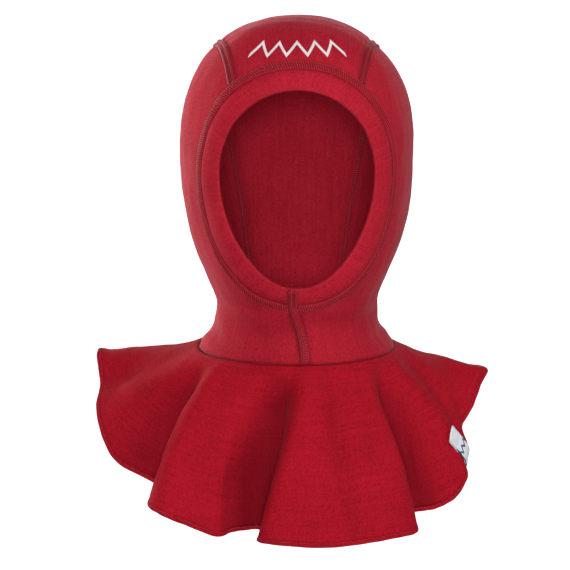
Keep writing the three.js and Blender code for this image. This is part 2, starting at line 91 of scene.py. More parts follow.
# The chin seam's course down the throat, as depths and how far it has moved to the wearer's left.
CHIN_DEPTHS = (172, 183, 191, 199, 207, 219)
CHIN_XS = (-3, -2.4, -0.4, 2.3, 4.1, 5)

COLLAR_HALF_WIDTH = 128
COLLAR_HALF_DEPTH = 100
COLLAR_DROP = 114
HEM_WIDTH = 2.4
HEM_THICKNESS = 2
SHOULDER_REACH = 0.76
SHOULDER_DROP = 0.34
# The hem over its flutes: angle of the fold at the neck seam, then hundredths of the three sizes
# above across, back and down.
FLUTES = np.array([
    (-90, -102.5, 8, 6), (-80, -100, -12, 21), (-71, -101, -30, 32), (-64, -97, -46, 47),
    (-58, -89, -57, 60), (-53, -70, -62, 72), (-48, -73.5, -76, 80), (-42, -67, -86, 84),
    (-34, -55, -90, 89), (-24, -39, -93, 95), (-16, -30, -80, 95), (-9, -20, -71, 96),
    (-5, -17, -78, 97), (-2, -19.5, -90, 98), (4, -11, -97, 99), (20, 14, -100, 100),
    (36, 34, -97, 98), (46, 50, -90, 96), (52, 59, -80, 95), (56, 58, -66, 92),
    (60, 56, -56, 89), (65, 62.5, -55, 88), (70, 71, -53, 86), (75, 79.5, -48, 81),
    (79, 85, -40, 72), (83, 85, -32, 66), (86, 86.5, -25, 56), (88, 84, -17, 46),
    (91, 90, -8, 35), (95, 94.5, -1, 23), (99, 98, 8, 15), (108, 88, 36, 18),
    (122, 75, 62, 39), (136, 56, 80, 61), (148, 39, 78, 69), (160, 26.5, 94, 74),
    (175, 6, 98, 74), (188, -9.5, 84, 73), (200, -26.5, 92, 72), (212, -45, 90, 66),
    (224, -59, 72, 55), (238, -76.5, 68, 33), (252, -90.5, 46, 13), (263, -100, 26, 6),
])

# Folds that run up the collar: place on the list of flutes at the neck and at the hem, how far the
# fold reaches before and after that place, and its depth in the middle of the drop.
FOLDS = (
    (1.4, 1.6, 0.9, 0.9, 2.5),
    (5.0, 5.1, 1.6, 0.8, 8.5),
    (12.7, 11.7, 1.9, 0.8, 14),
    (14.8, 15.75, 0.35, 0.35, 3),
    (17.8, 20.7, 0.9, 1.7, 13),
    (24.2, 25.6, 1.5, 1.2, 1.5),
    (33.4, 33.4, 1.3, 1.6, 7),
    (36.9, 37.2, 1.3, 1.3, 8),
    (40.4, 40.2, 1.5, 1.3, 7),
)

LABEL_FLUTE = 25.5
LABEL_WIDTH = 11
LABEL_LENGTH = 23
LABEL_TAPE = 0.4
LABEL_INSIDE = 0.5
LABEL_LIFT = 0.8  # off the hem's face
LABEL_SINK = 1.1  # how far the sewn ends bend into the hem
LABEL_LEAN = math.radians(15)
LABEL_TILT = math.radians(12)
TACK_WIDTH = 1.1  # bar tack
GAP = 0.3

THREAD_RADIUS = 0.22
COVER_THREAD_RADIUS = 0.27
PRINT_THICKNESS = 0.22
PRINT_LIFT = 0.32  # the print's face above the cloth

# Metres to a millimetre of the garment, from the frame's height between crown and lowest hem.
GARMENT_HEIGHT = COLLAR_DEPTH + COLLAR_DROP
MM = (CAD_BOUNDS[1][2] - CAD_BOUNDS[0][2]) / GARMENT_HEIGHT

# ---------------------------------------------------------------- the hood's outer surface


def through_knots(xs, ys, x):
    """Smooth value through the knots, flat at the first and straight beyond the last."""
    xs, ys, x = np.asarray(xs, float), np.asarray(ys, float), np.asarray(x, float)
    slope = np.diff(ys) / np.diff(xs)
    tangent = np.concatenate([[0], (slope[:-1] + slope[1:]) / 2, slope[-1:]])
    i = np.clip(np.searchsorted(xs, x, side="right") - 1, 0, len(xs) - 2)
    span = xs[i + 1] - xs[i]
    t = np.clip((x - xs[i]) / span, 0, 1)
    start = ys[i] * (1 + 2 * t) * (1 - t) ** 2 + tangent[i] * span * t * (1 - t) ** 2
    return start + ys[i + 1] * t * t * (3 - 2 * t) + tangent[i + 1] * span * t * t * (t - 1)


def reach(way, depth):
    return through_knots(SECTIONS[:, 0], SECTIONS[:, way], depth)


def smooth_step(x, low, high):
    t = np.clip((x - low) / (high - low), 0, 1)
    return t * t * (3 - 2 * t)


def dip(x, y, depth):
    """How much lower a point lies than its section's depth: the neck end tilts to the front."""
    forward = -y / np.maximum(np.hypot(x, y), 1e-6)
    amount = np.where(forward > 0, NECKLINE_DIP, NECKLINE_RISE)
    return amount * forward * smooth_step(depth, NECK_DEPTH, COLLAR_DEPTH)


def signed_power(value, power):
    return np.sign(value) * np.abs(value) ** power


def hood_point(angle, depth):
    """A point on the surface, by angle from the front to the wearer's left and by depth."""
    above = np.maximum(TEMPLE_DEPTH - depth, 0) / TEMPLE_DEPTH
    shrink = (1 - above**DOME_POWER) ** (1 / DOME_POWER)
    forward = np.cos(angle)
    lengthways = np.where(forward > 0, reach(FRONT, depth), reach(BACK, depth))
    x = shrink * reach(SIDE, depth) * signed_power(np.sin(angle), 2 / PLAN_POWER)
    y = -shrink * lengthways * signed_power(forward, 2 / PLAN_POWER)
    return np.stack([x, y, FABRIC - depth - dip(x, y, depth)], -1)


def depth_of(points):
    x, y, z = np.moveaxis(points, -1, 0)
    depth = FABRIC - z
    for _ in range(8):
        depth = FABRIC - z - dip(x, y, depth)
    return depth


def outside(points):
    """Below zero inside the surface, zero on it and above zero outside."""
    x, y, _ = np.moveaxis(points, -1, 0)
    depth = depth_of(points)
    side = np.abs(x) / reach(SIDE, depth)
    along = np.abs(y) / np.where(y < 0, reach(FRONT, depth), reach(BACK, depth))
    plan = (side**PLAN_POWER + along**PLAN_POWER) ** (1 / PLAN_POWER)
    above = np.maximum(TEMPLE_DEPTH - depth, 0) / TEMPLE_DEPTH
    dome = plan**DOME_POWER + above**DOME_POWER - 1
    return np.where(depth >= TEMPLE_DEPTH, plan - 1, dome)


def unit(vectors):
    return vectors / np.maximum(np.linalg.norm(vectors, axis=-1, keepdims=True), 1e-12)


def normals(points):
    step = 0.05
    slopes = []
    for axis in np.eye(3):
        slopes.append(outside(points + step * axis) - outside(points - step * axis))
    return unit(np.stack(slopes, -1))


def exit_points(origins, directions):
    """Where rays from inside the hood leave it."""
    near = np.zeros(origins.shape[:-1])
    far = np.full(origins.shape[:-1], 200.0)
    for _ in range(30):
        middle = (near + far) / 2
        inside = outside(origins + middle[..., None] * directions) < 0
        near, far = np.where(inside, middle, near), np.where(inside, far, middle)
    return origins + near[..., None] * directions


def front_points(x, z):
    origins = np.stack([x, np.zeros_like(x), z], -1)
    return exit_points(origins, np.broadcast_to([0.0, -1.0, 0.0], origins.shape))


HEAD_MIDDLE = FABRIC - TEMPLE_DEPTH


def crown_point(across, angle):
    """A point of the crown panel: -1 to 1 from its right seam to its left, and angle round."""
    x = across * through_knots(CROWN_ANGLES, CROWN_HALF_WIDTHS, np.degrees(angle))
    origins = np.stack([x, np.zeros_like(x), np.full_like(x, HEAD_MIDDLE)], -1)
    directions = np.stack([np.zeros_like(x), -np.cos(angle), np.sin(angle)], -1)
    return exit_points(origins, directions)


def crown_back(across, depth):
    """The same lines below the temples, by depth."""
    angle = np.full(depth.shape, np.pi)
    for _ in range(8):
        x = across * through_knots(CROWN_ANGLES, CROWN_HALF_WIDTHS, np.degrees(angle))
        sideways = np.abs(x) / reach(SIDE, depth)
        y = reach(BACK, depth) * (1 - sideways**PLAN_POWER) ** (1 / PLAN_POWER)
        z = FABRIC - depth - dip(x, y, depth)
        angle = np.arctan2(z - HEAD_MIDDLE, -y) % (2 * np.pi)
    return np.stack([x, y, z], -1)


OVER_SHARE = 0.62  # of a crown line's length, the part above the temples


def crown_line(across, first, share):
    """Points of a crown line, from share 0 at its first angle over the top to 1 at the neck seam."""
    angle = first + (np.pi - first) * np.minimum(share / OVER_SHARE, 1)
    drop = np.maximum((share - OVER_SHARE) / (1 - OVER_SHARE), 0)
    across = np.broadcast_to(across, angle.shape)
    over = crown_point(across, angle)
    under = crown_back(across, TEMPLE_DEPTH + (COLLAR_DEPTH - TEMPLE_DEPTH) * drop + 0 * angle)
    return np.where((share + 0 * angle)[..., None] < OVER_SHARE, over, under)


def egg_half_width(egg, height):
    round_off = np.maximum(1 - np.abs(height) ** egg["power"], 0) ** (1 / egg["power"])
    return egg["half_width"] * round_off * (1 + egg["skew"] * height)


def egg_point(egg, angle):
    """Front view of an egg's outline: x and z, by angle from its top to the wearer's left."""
    height = np.cos(angle)
    middle = FABRIC - (egg["top"] + egg["bottom"]) / 2
    x = np.sign(np.sin(angle)) * egg_half_width(egg, height)
    return x, middle + (egg["bottom"] - egg["top"]) / 2 * height


def chin_x(depth):
    return through_knots(CHIN_DEPTHS, CHIN_XS, depth)


def soft_noise(points, size, seed):
    """Smooth noise about zero, from waves in seeded directions."""
    random = np.random.default_rng(seed)
    total = np.zeros(points.shape[:-1])
    waves = 7
    for _ in range(waves):
        direction = unit(random.normal(size=3)) * (2 * np.pi / size) * random.uniform(0.6, 1.5)
        total += np.sin(points @ direction + random.uniform(0, 2 * np.pi))
    return total / math.sqrt(waves)


def relief(points):
    """How far the worn cloth stands off the even surface: slack, and pulls round the throat."""
    slack = 0.35 * soft_noise(points, 46, 3) + 0.12 * soft_noise(points, 15, 4)
    depth = depth_of(points)
    throat = smooth_step(depth, 172, 190) * (1 - smooth_step(depth, 206, 214))
    pulls = np.sin((depth + 0.006 * points[..., 0] ** 2) / 3.0 + 1.3 * soft_noise(points, 55, 5))
    return slack + 0.5 * throat * pulls


def on_hood(points, height=0.0):
    """Lifts points of the even surface to the worn surface, and then by a height."""
    lift = relief(points) + height
    return points + lift[..., None] * normals(points)


# ---------------------------------------------------------------- mesh building


def mesh_object(name, points, faces, material, uv=None, painted_shade=None, threads=None):
    """A mesh object from garment points, in rows or one by one.

    uv holds a cloth position in millimetres per point.
    The per-point painted shade, from 0 to 1, darkens the cloth where grooves, turns and folds
    lie in shadow. threads holds a second material and the first face that has it.
    """
    mesh = bpy.data.meshes.new(name)
    corners = np.asarray(points).reshape(-1, 3) * MM
    mesh.from_pydata(corners.tolist(), [], [list(face) for face in faces])
    if uv is not None:
        layer = mesh.uv_layers.new(name="cloth")
        loops = np.empty(len(mesh.loops), dtype=np.int32)
        mesh.loops.foreach_get("vertex_index", loops)
        layer.uv.foreach_set("vector", (np.asarray(uv).reshape(-1, 2)[loops] / 1000).ravel())
    if painted_shade is not None:
        shade = mesh.attributes.new("painted_shade", "FLOAT", "POINT")
        shade.data.foreach_set("value", np.asarray(painted_shade, float).ravel())
    mesh.polygons.foreach_set("use_smooth", [True] * len(mesh.polygons))
    mesh.materials.append(material)
    if threads is not None:
        mesh.materials.append(threads[0])
        slots = (np.arange(len(mesh.polygons)) >= threads[1]).astype(np.int32)
        mesh.polygons.foreach_set("material_index", slots)
    mesh.update()
    piece = bpy.data.objects.new(name, mesh)
    bpy.context.scene.collection.objects.link(piece)
    return piece


def quads(rows, columns, wrap_rows=False, wrap_columns=False):
    """Faces of a grid of points, row after row, that face the viewer when rows run down."""
    faces = []
    for r in range(rows if wrap_rows else rows - 1):
        low = (r + 1) % rows
        for c in range(columns if wrap_columns else columns - 1):
            right = (c + 1) % columns
            corners = ((r, c), (low, c), (low, right), (r, right))
            faces.append(tuple(row * columns + column for row, column in corners))
    return faces


def layer_loop(outer, normal, thickness, ends_out):
    """Rows of a cloth's whole section: outer face, rounded far edge, inner face, near edge.

    ends_out holds two unit fields, the ways out of the cloth at its first and last row.
    """
    half = thickness / 2
    middle = outer - half * normal
    turns = np.pi * np.array([0.3, 0.5, 0.7])
    rows = list(outer)
    for turn in turns:
        rows.append(middle[-1] + half * (np.cos(turn) * normal[-1] + np.sin(turn) * ends_out[1]))
    rows += list((outer - thickness * normal)[::-1])
    for turn in turns[::-1]:
        rows.append(middle[0] + half * (np.cos(turn) * normal[0] + np.sin(turn) * ends_out[0]))
    return np.array(rows)


def cloth_object(name, outer, normal, cloth, material, painted_shade=None, wraps=False, thickness=FABRIC):
    """A sheet with thickness and rounded edges, from its outer grid, normals and flat places."""
    ways = (unit(outer[0] - outer[1]), unit(outer[-1] - outer[-2]))
    rows = layer_loop(outer, normal, thickness, ways)
    count, columns = rows.shape[:2]
    faces = quads(count, columns, wrap_rows=True, wrap_columns=wraps)
    flat = [*cloth, *(cloth[-1] + (0, 0.4 * step) for step in (1, 2, 3))]
    flat += [*cloth[::-1], *(cloth[0] - (0, 0.4 * step) for step in (3, 2, 1))]
    if painted_shade is not None:
        painted_shade = np.concatenate([painted_shade, painted_shade[[-1, -1, -1]], 0 * painted_shade, painted_shade[[0, 0, 0]]])
    if not wraps:
        half, last = len(outer), 2 * len(outer) + 2
        for column, turn in ((0, 1), (columns - 1, -1)):
            end = [r * columns + column for r in range(count)]
            caps = [(end[i], end[last - i], end[last - i - 1], end[i + 1]) for i in range(half - 1)]
            caps += [tuple(end[half - 1 : half + 4]), tuple(end[last:] + end[:1])]
            faces += [cap[::turn] for cap in caps]
    return mesh_object(name, rows, faces, material, flat, painted_shade)


def tube(path, normal, radius, sides=5, closed=False):
    """Points and faces of a thread along a path, its section turned by the surface normals."""
    if closed:
        along = unit(np.roll(path, -1, 0) - np.roll(path, 1, 0))
    else:
        along = unit(np.gradient(path, axis=0))
    across = unit(np.cross(along, normal))
    square = np.cross(across, along)
    turns = np.arange(sides) * 2 * np.pi / sides
    upward, sideways = np.cos(turns)[:, None], np.sin(turns)[:, None]
    ring = upward * square[:, None] + sideways * across[:, None]
    points = (path[:, None] + radius * ring).reshape(-1, 3)
    faces = quads(len(path), sides, wrap_rows=closed, wrap_columns=True)
    if not closed:
        faces.append(tuple(range(sides)))
        last = (len(path) - 1) * sides
        faces.append(tuple(last + i for i in reversed(range(sides))))
    return points, faces


def joined(parts):
    """One list of points and faces from several."""
    points, faces, first = [], [], 0
    for part_points, part_faces in parts:
        points.append(part_points)
        faces += [tuple(first + i for i in face) for face in part_faces]
        first += len(part_points)
    return np.concatenate(points), faces


def measured(path):
    """Running length along a path, from 0, or down each column of a grid."""
    steps = np.linalg.norm(np.diff(path, axis=0), axis=-1)
    return np.concatenate([0 * steps[:1], np.cumsum(steps, 0)])


def along_path(length, run, *fields):
    """Values of a path's fields at running lengths along it, between its points."""
    places = np.interp(run, length, np.arange(len(length)))
    low = np.clip(np.floor(places).astype(int), 0, len(length) - 2)
    part = (places - low)[:, None]
    return [values[low] * (1 - part) + values[low + 1] * part for values in fields]


def resampled(path, step):
    """The path again, with points an even step apart."""
    length = measured(path)
    count = max(round(length[-1] / step), 2)
    return along_path(length, np.linspace(0, length[-1], count + 1), path)[0]


# ---------------------------------------------------------------- materials


def linear(red, green, blue):
    """An sRGB colour from 0 to 255 as linear RGBA."""
    values = [value / 255 for value in (red, green, blue)]
    return [v / 12.92 if v <= 0.04045 else ((v + 0.055) / 1.055) ** 2.4 for v in values] + [1]


class Nodes:
    """Short ways to add shader nodes to a new material."""

    def __init__(self, name):
        self.material = bpy.data.materials.new(name)
        self.material.use_nodes = True
        self.tree = self.material.node_tree
        self.shader = self.tree.nodes["Principled BSDF"]

    def add(self, kind, **settings):
        node = self.tree.nodes.new(kind)
        for key, value in settings.items():
            setattr(node, key, value)
        return node

    def feed(self, value, socket):
        """Gives a socket a number or colour, or links it to another node's output."""
        if isinstance(value, (int, float, list)):
            socket.default_value = value
        else:
            self.tree.links.new(value, socket)

    def math(self, operation, *values):
        node = self.add("ShaderNodeMath", operation=operation)
        for value, socket in zip(values, node.inputs):
            self.feed(value, socket)
        return node.outputs[0]

    def total(self, *terms, start=0.0):
        """A sum of outputs, each times its weight."""
        for value, weight in terms:
            start = self.math("MULTIPLY_ADD", value, weight, start)
        return start

    def mix(self, share, first, second):
        node = self.add("ShaderNodeMix", data_type="RGBA")
        for value, index in ((share, 0), (first, 6), (second, 7)):
            self.feed(value, node.inputs[index])
        return node.outputs[2]

    def noise(self, vector, scale, detail=2.0, rough=0.5):
        node = self.add("ShaderNodeTexNoise")
        settings = {"Vector": vector, "Scale": scale, "Detail": detail, "Roughness": rough}
        for key, value in settings.items():
            self.feed(value, node.inputs[key])
        return node.outputs["Fac"]

    def bump(self, height, distance, strength, normal=None):
        node = self.add("ShaderNodeBump")
        node.inputs["Distance"].default_value = distance
        node.inputs["Strength"].default_value = strength
        self.feed(height, node.inputs["Height"])
        if normal is not None:
            self.feed(normal, node.inputs["Normal"])
        return node.outputs["Normal"]

    def set(self, **values):
        for key, value in values.items():
            self.feed(value, self.shader.inputs[key.replace("_", " ")])

    def cloth_place(self):
        """A point's place on the cloth in metres: both ways together, across, and along."""
        place = self.add("ShaderNodeUVMap", uv_map="cloth").outputs[0]
        split = self.add("ShaderNodeSeparateXYZ")
        self.feed(place, split.inputs[0])
        return place, split.outputs[0], split.outputs[1]

    def solid_place(self):
        return self.add("ShaderNodeTexCoord").outputs["Object"]


WALE = 0.00095  # metres of cloth to a column of loops
COURSE = 0.00078  # and to a row of loops
# Dark red that the cloth is mixed toward: painted shade.
PAINTED_SHADE_COLOUR = linear(66, 3, 10)


def knit_material(name, colour, deep, wale_lines, course_lines, fuzz):
    """Fine double knit: V-shaped loops in wales, faint lines along wales and courses, fuzz, and
    painted shade.
    """
    nodes = Nodes(name)
    place, across, along = nodes.cloth_place()
    solid = nodes.solid_place()
    wale = nodes.math("FRACT", nodes.math("DIVIDE", across, WALE))
    slant = nodes.math("ABSOLUTE", nodes.total((wale, 2.0), start=-1.0))
    phase = nodes.total((slant, -0.5), start=nodes.math("DIVIDE", along, COURSE))
    loops = nodes.math("COSINE", nodes.math("MULTIPLY", phase, 2 * math.pi))
    ridge = nodes.math("SUBTRACT", 1.0, nodes.math("POWER", slant, 2.0))
    height = nodes.total((ridge, 0.7), (loops, 0.22))

    def streaks(scale_across, scale_along):
        stretched = nodes.add("ShaderNodeMapping")
        stretched.inputs["Scale"].default_value = (scale_across, scale_along, 1)
        nodes.feed(place, stretched.inputs["Vector"])
        return nodes.noise(stretched.outputs[0], 1.0, 1.5)

    lines = ((streaks(620, 28), wale_lines), (streaks(28, 620), course_lines))
    fine = nodes.noise(solid, 900, 2.0, 0.6)
    noises = (*lines, (fine, 1.5), (nodes.noise(solid, 34), 0.45))
    middle = 0.42 - 0.5 * sum(weight for _, weight in noises)
    clamp = nodes.add("ShaderNodeClamp")
    nodes.feed(nodes.total(*noises, (height, 0.3), start=middle), clamp.inputs[0])
    plain = nodes.mix(clamp.outputs[0], linear(*deep), linear(*colour))
    # Painted shade: a per-point attribute mixes the knit toward the dark red where it would lie in
    # shadow.
    painted_shade = nodes.add("ShaderNodeAttribute", attribute_name="painted_shade").outputs["Fac"]
    lined = nodes.bump(nodes.total(*lines), 0.0005, 0.4, nodes.bump(fine, 0.0003, 0.35))
    nodes.set(
        Base_Color=nodes.mix(painted_shade, plain, PAINTED_SHADE_COLOUR),
        Normal=nodes.bump(height, 0.00022, 0.55, lined),
        Roughness=nodes.total((fine, 0.12), start=0.82),
        Specular_IOR_Level=0.05,
        Sheen_Weight=fuzz,
        Sheen_Roughness=0.25,
        Sheen_Tint=[1, 0.5, 0.56, 1],
    )
    return nodes.material


def thread_material(name, colour, deep):
    """Spun thread: darker towards its twists, with a little shine."""
    nodes = Nodes(name)
    solid = nodes.solid_place()
    twist = nodes.noise(solid, 1500, 1.0)
    share = nodes.total((twist, 0.6), (nodes.noise(solid, 90), 0.5))
    nodes.set(
        Base_Color=nodes.mix(share, linear(*deep), linear(*colour)),
        Normal=nodes.bump(twist, 0.0002, 0.6),
        Roughness=0.8,
        Specular_IOR_Level=0.2,
        Sheen_Weight=0.15,
        Sheen_Roughness=0.3,
        Sheen_Tint=[1, 0.45, 0.5, 1],
    )
    return nodes.material


def print_material(name):
    """Thin transfer print: pale grey with a satin skin that follows the knit under it."""
    nodes = Nodes(name)
    solid = nodes.solid_place()
    grain, patch = nodes.noise(solid, 1100), nodes.noise(solid, 160)
    share = nodes.total((grain, 0.5), (patch, 0.5))
    nodes.set(
        Base_Color=nodes.mix(share, linear(186, 176, 178), linear(236, 232, 234)),
        Normal=nodes.bump(grain, 0.0002, 0.5),
        Roughness=nodes.total((patch, 0.25), start=0.32),
    )
    return nodes.material


WARP = 0.00035  # metres between the label's warp threads
WEFT = 0.0005
BACK_LEAF = 0.034  # along the tape in metres, past this the leaf is sewn down
MARK_PLACE = 0.038
MARK_HEIGHT = 0.0034
MARK_LINE = 0.0011  # half the mark's stroke
DARK_STRIP = 0.0048  # from the tape's middle to its dark edge


def label_material(name):
    """Woven satin tape: warp and weft, painted shade before BACK_LEAF, a dark edge strip, a zigzag
    mark.
    """
    nodes = Nodes(name)
    place, across, along = nodes.cloth_place()
    warp = nodes.math("SINE", nodes.math("MULTIPLY", across, 2 * math.pi / WARP))
    weft = nodes.math("SINE", nodes.math("MULTIPLY", along, 2 * math.pi / WEFT))
    weave = nodes.total((warp, 0.3), (weft, 0.2))
    cloud = nodes.noise(place, 260)
    share = nodes.total((weave, 0.25), start=cloud)
    # Painted shade: the tape is grey before BACK_LEAF, on the part that turns away from the light,
    # and white past it.
    painted_shade_part = nodes.math("LESS_THAN", along, BACK_LEAF)
    pale = nodes.mix(painted_shade_part, linear(226, 229, 238), linear(208, 211, 212))
    plain = nodes.mix(share, linear(188, 192, 198), pale)
    wave = nodes.math("PINGPONG", nodes.math("MULTIPLY", across, 1.5), MARK_HEIGHT)
    offset = nodes.math("SUBTRACT", nodes.math("SUBTRACT", along, MARK_PLACE), wave)
    stroke = nodes.math("LESS_THAN", nodes.math("ABSOLUTE", offset), MARK_LINE)
    marked = nodes.mix(stroke, plain, linear(40, 46, 96))
    # A dark strip along the tape's lower edge past BACK_LEAF.
    edge = nodes.math("LESS_THAN", across, -DARK_STRIP)
    dark_strip = nodes.math("MULTIPLY", edge, nodes.math("GREATER_THAN", along, BACK_LEAF))
    nodes.set(
        Base_Color=nodes.mix(dark_strip, marked, linear(30, 32, 46)),
        Normal=nodes.bump(weave, 0.0001, 0.5),
        Roughness=nodes.total((cloud, 0.2), start=0.42),
        Sheen_Weight=0.2,
    )
    return nodes.material


# The hood's knit is given a paler, pinker red than the collar's: painted sheen haze on the hood.
KNIT = knit_material("knit_wales", (176, 33, 50), (122, 13, 26), 0.5, 0.2, fuzz=0.2)
COLLAR_KNIT = knit_material("knit_collar", (166, 19, 37), (112, 7, 19), 0.2, 0.55, fuzz=0.04)
THREAD = thread_material("thread_red", (182, 34, 50), (146, 18, 32))
SEAM_CLOTH = thread_material("seam_cloth", (136, 14, 29), (88, 5, 15))
PRINT = print_material("print_silver")
TAPE = label_material("woven_tape")

# ---------------------------------------------------------------- hood panels


GROOVE = SEAM_WIDTH / 2 + 0.5


def edge_sink(distance):
    """Panels lie low under a seam's ridge and in the groove beside it."""
    return -0.5 * np.exp(-((np.maximum(distance - GROOVE, 0) / 1.3) ** 2))


def edge_painted_shade(distance):
    """Painted shade in the groove beside a seam, where the seam's ridge would shadow the cloth."""
    return 0.28 * np.exp(-(((distance - GROOVE) / 0.6) ** 2))


def neck_painted_shade(depth):
    """Painted shade: the neck darker under the chin, and darker still just above its seam, where the
    cloth turns in.
    """
    turned_in = 0.3 * np.exp(-(((COLLAR_DEPTH - depth) / 0.7) ** 2))
    return 0.12 * smooth_step(depth, 178, 198) + turned_in


def neck_tuck(depth):
    """The cloth turns in over its last millimetres above the neck seam."""
    return -0.6 * np.exp(-(((COLLAR_DEPTH - depth) / 1.1) ** 2))


def bisected(low, high, is_low_side):
    """Angles between low and high where a condition stops holding, one per column."""
    for _ in range(30):
        middle = (low + high) / 2
        held = is_low_side(middle)
        low, high = np.where(held, middle, low), np.where(held, high, middle)
    return (low + high) / 2


def over_ring(points, margin):
    """Whether front-view points lie outside the ring seam's egg grown by a margin."""
    middle = FABRIC - (RING["top"] + RING["bottom"]) / 2
    height = (points[..., 2] - middle) / ((RING["bottom"] - RING["top"]) / 2 + margin)
    wide = egg_half_width(RING, np.clip(height, -1, 1)) + margin
    return (np.abs(height) > 1) | (np.abs(points[..., 0]) > wide)


def crown_start(across, margin=0.0):
    """The angle at which each crown line leaves the ring seam."""
    low = np.full(across.shape, math.radians(8))
    top = np.full(across.shape, np.pi / 2)
    return bisected(low, top, lambda angle: ~over_ring(crown_point(across, angle), margin))


def crown_panel():
    across = np.linspace(-1, 1, 84)
    base = crown_line(across, crown_start(across), np.linspace(0, 1, 200)[:, None])
    half_width = np.abs(base[:, :1, 0])
    to_seam = (1 - np.abs(across)) * half_width
    along = measured(base)
    depth = depth_of(base)
    outer = on_hood(base, np.minimum(edge_sink(to_seam), edge_sink(along)) + neck_tuck(depth))
    cloth = np.stack([base[..., 0], along], -1)
    # Painted shade in the grooves beside the seams and on the neck.
    painted_shade = np.maximum(edge_painted_shade(to_seam), edge_painted_shade(along)) + neck_painted_shade(depth)
    return cloth_object("crown_cloth", outer, normals(base), cloth, KNIT, painted_shade)


def sheet_place(points):
    """Angle and depth of points on the surface, as hood_point takes them."""
    depth = depth_of(points)
    x, y, _ = np.moveaxis(points, -1, 0)
    forward = -y / np.where(y < 0, reach(FRONT, depth), reach(BACK, depth))
    sideways = signed_power(x / reach(SIDE, depth), PLAN_POWER / 2)
    return np.arctan2(sideways, signed_power(forward, PLAN_POWER / 2)), depth


def ring_angle_at(side, point):
    """Angle on the ring egg that lies nearest a point in front view."""
    angles = side * np.linspace(0.2, np.pi / 2, 600)
    x, z = egg_point(RING, angles)
    return angles[np.argmin((x - point[0]) ** 2 + (z - point[2]) ** 2)]


def side_panel(side, name):
    rows = 170
    first = crown_start(np.array([float(side)]))
    back_edge = crown_line(float(side), first, np.linspace(0, 1, rows))
    start = ring_angle_at(side, back_edge[0])
    ring_rows = int(rows * 0.84)
    x, z = egg_point(RING, np.linspace(start, side * np.pi, ring_rows))
    ring_edge = front_points(x, z)
    chin_depths = np.linspace(RING["bottom"] + 1, COLLAR_DEPTH + NECKLINE_DIP, rows - ring_rows)
    chin_edge = front_points(chin_x(chin_depths), FABRIC - chin_depths)
    front_edge = resampled(np.concatenate([ring_edge, chin_edge]), 1.0)
    count = np.arange(len(front_edge))
    front_edge = along_path(count, np.linspace(0, count[-1], rows), front_edge)[0]
    front_angle, front_depth = sheet_place(front_edge)
    back_angle, back_depth = sheet_place(back_edge)
    front_depth[-1] = back_depth[-1] = COLLAR_DEPTH
    share = np.linspace(0, 1, 96)
    angle = front_angle[:, None] * (1 - share) + back_angle[:, None] * share
    depth = front_depth[:, None] * (1 - share) + back_depth[:, None] * share
    base = hood_point(angle, depth)
    to_front = measured(np.swapaxes(base, 0, 1)).T
    to_back = to_front[:, -1:] - to_front
    outer = on_hood(base, np.minimum(edge_sink(to_front), edge_sink(to_back)) + neck_tuck(depth))
    cloth = np.stack([68 * angle, -base[..., 2]], -1)
    # Painted shade in the grooves beside the seams and on the neck.
    painted_shade = np.maximum(edge_painted_shade(to_front), edge_painted_shade(to_back)) + neck_painted_shade(depth)
    grids = [grid[:, ::side] for grid in (outer, normals(base), cloth, painted_shade)]
    return cloth_object(name, *grids[:3], KNIT, grids[3])


BAND_LAYERS = 2 * FABRIC + 0.3


def face_band():
    """A folded strip: out over the face edge, round it, and back behind itself."""
    angles = np.pi + np.linspace(0, 2 * np.pi, 300, endpoint=False)
    ring_x, ring_z = egg_point(RING, angles)
    open_x, open_z = egg_point(OPENING, angles)
    share = np.linspace(0, 1, 22)[:, None]
    x = ring_x * (1 - share) + open_x * share
    base = front_points(x, ring_z * (1 - share) + open_z * share)
    normal = normals(base)
    puff = 0.6 * np.sin(np.pi * share) ** 1.3
    gap = np.linalg.norm(base - base[0], axis=-1)
    outer = on_hood(base, puff + edge_sink(gap))
    inward = unit(base[-1] - base[-2])

    def roll(radius):
        centre = outer[-1] - BAND_LAYERS / 2 * normal[-1]
        turns = np.linspace(0, np.pi, 9)[1:-1]
        return [centre + radius * (math.cos(t) * normal[-1] + math.sin(t) * inward) for t in turns]

    def layer(under):
        return outer - under * normal

    rows = [*outer, *roll(BAND_LAYERS / 2), *layer(BAND_LAYERS)[:0:-1]]
    rows += [*layer(BAND_LAYERS - FABRIC)[1:], *roll(BAND_LAYERS / 2 - FABRIC)[::-1]]
    rows += [*layer(FABRIC)[::-1]]
    points = np.array(rows)
    around = measured(np.concatenate([base[0], base[0][:1]]))[:-1]
    cloth = np.stack(np.broadcast_arrays(around, measured(points[:, 0])[:, None]), -1)
    # Painted shade in the groove beside the ring seam.
    painted_shade = np.zeros(points.shape[:2])
    painted_shade[: len(gap)] = edge_painted_shade(gap)
    faces = quads(len(rows), len(angles), wrap_rows=True, wrap_columns=True)
    return mesh_object("band_cloth", points, faces, KNIT, cloth, painted_shade)


# ---------------------------------------------------------------- flatlock seams


def ridge_strip(ground, across, out, half, profile):
    """A strip whose top follows a profile of heights, from one side of the seam to the other."""
    stations = np.linspace(-1, 1, len(profile))
    top = [ground + s * half * across + h * out for s, h in zip(stations, profile)]
    low = [ground + s * (half - 0.15) * across - 0.5 * out for s in stations[::-1]]
    rows = np.array(top + low)
    count = ground.shape[0]
    faces = quads(len(rows), count, wrap_rows=True)
    faces.append(tuple(r * count for r in range(len(rows))))
    faces.append(tuple((r + 1) * count - 1 for r in reversed(range(len(rows)))))
    return rows.reshape(-1, 3), faces


